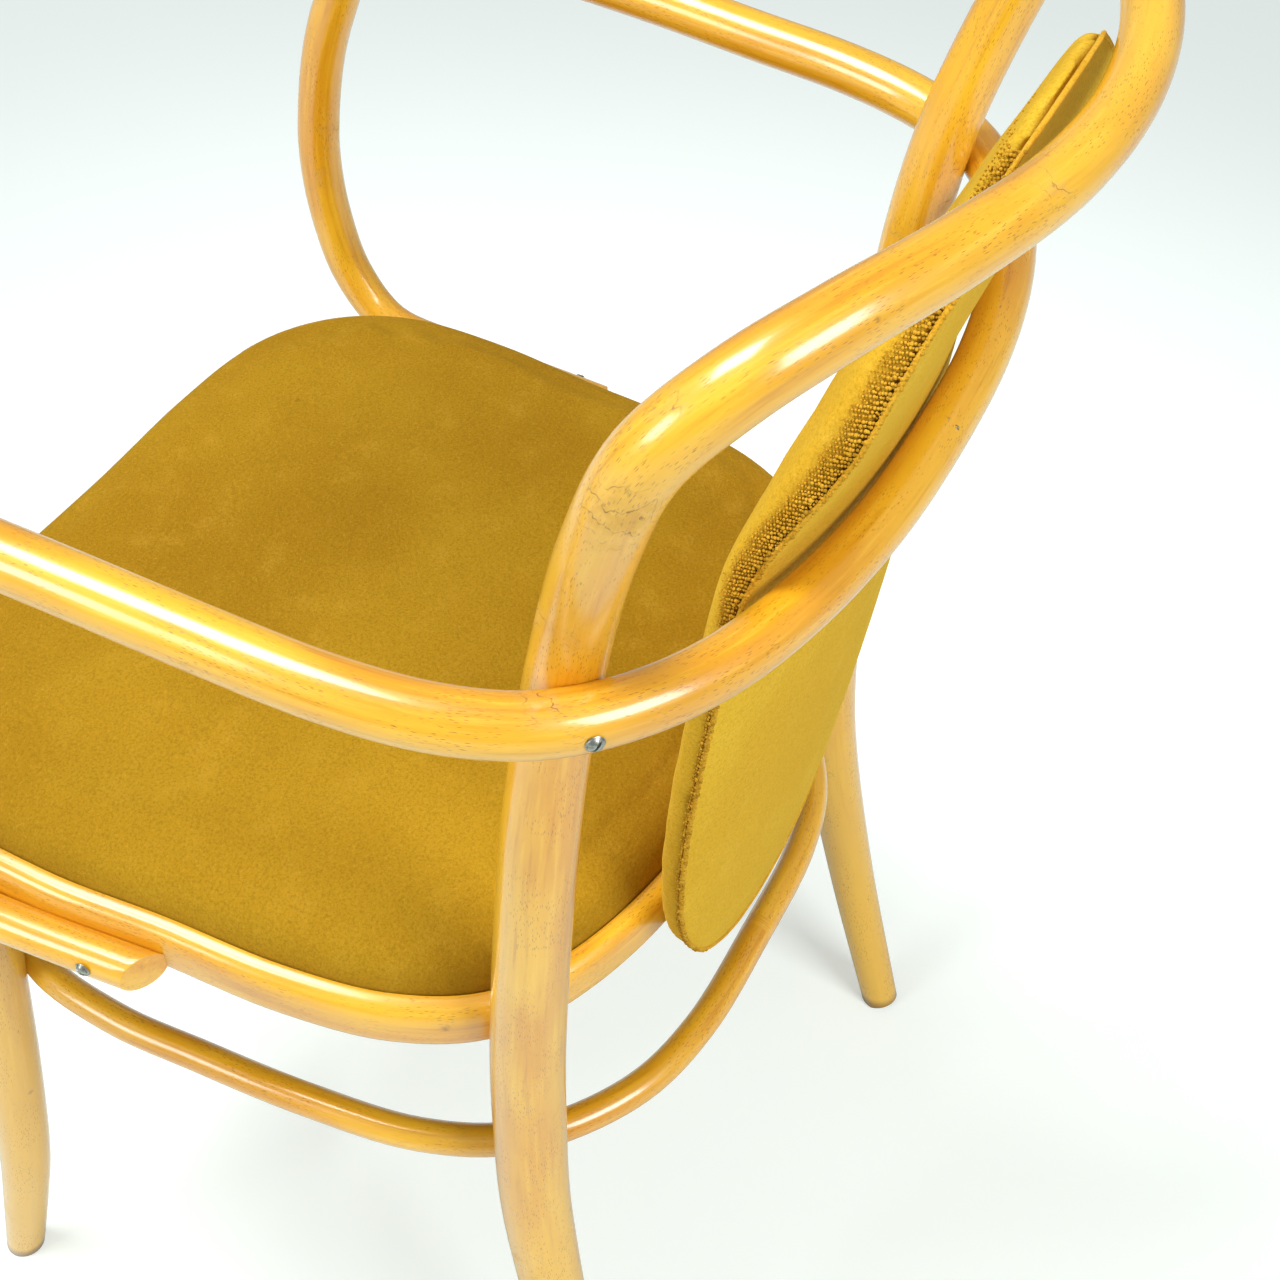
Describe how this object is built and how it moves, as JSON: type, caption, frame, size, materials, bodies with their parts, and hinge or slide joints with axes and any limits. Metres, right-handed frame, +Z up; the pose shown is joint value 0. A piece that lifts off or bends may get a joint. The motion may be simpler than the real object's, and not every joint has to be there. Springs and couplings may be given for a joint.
{
  "type": "bentwood armchair",
  "caption": "Bentwood armchair: round bent beech bows for legs, back and arms, a crowned velvet seat and a long oval velvet back pad.",
  "frame": {"origin": "middle of the whole chair's outline on the floor", "axes": "+Z up from the floor; the sitter faces -Y; +X is the sitter's left, and the chair is even about X = 0"},
  "size_m": [0.5681, 0.6009, 0.8993],
  "materials": {
    "beech": "clear gloss lacquer",
    "pale_beech": "clear gloss lacquer",
    "plywood": "raw",
    "foam": "open upholstery foam",
    "velvet": "short-pile velvet",
    "pile": "coarse tufted pile",
    "base_cloth": "thin dust cloth",
    "screw_steel": "bright domed head"
  },
  "bodies": {
    "root": {"back_bow": "beech", "arm_bow": "beech", "seat_ring": "beech", "leg_ring": "beech", "front_leg_left": "pale_beech", "front_leg_right": "pale_beech", "seat_board": "plywood", "seat_foam": "foam", "seat_cover": "velvet", "seat_base_cloth": "base_cloth", "back_board": "plywood", "back_foam": "foam", "back_front_cover": "velvet", "back_rear_padding": "foam", "back_rear_cover": "velvet", "back_seam": "pile", "arm_upright_screws": "screw_steel", "arm_front_screws": "screw_steel", "rear_leg_screws": "screw_steel", "leg_ring_screws": "screw_steel", "seat_board_screws": "screw_steel", "back_pad_screws": "screw_steel"}
  },
  "joints": []
}
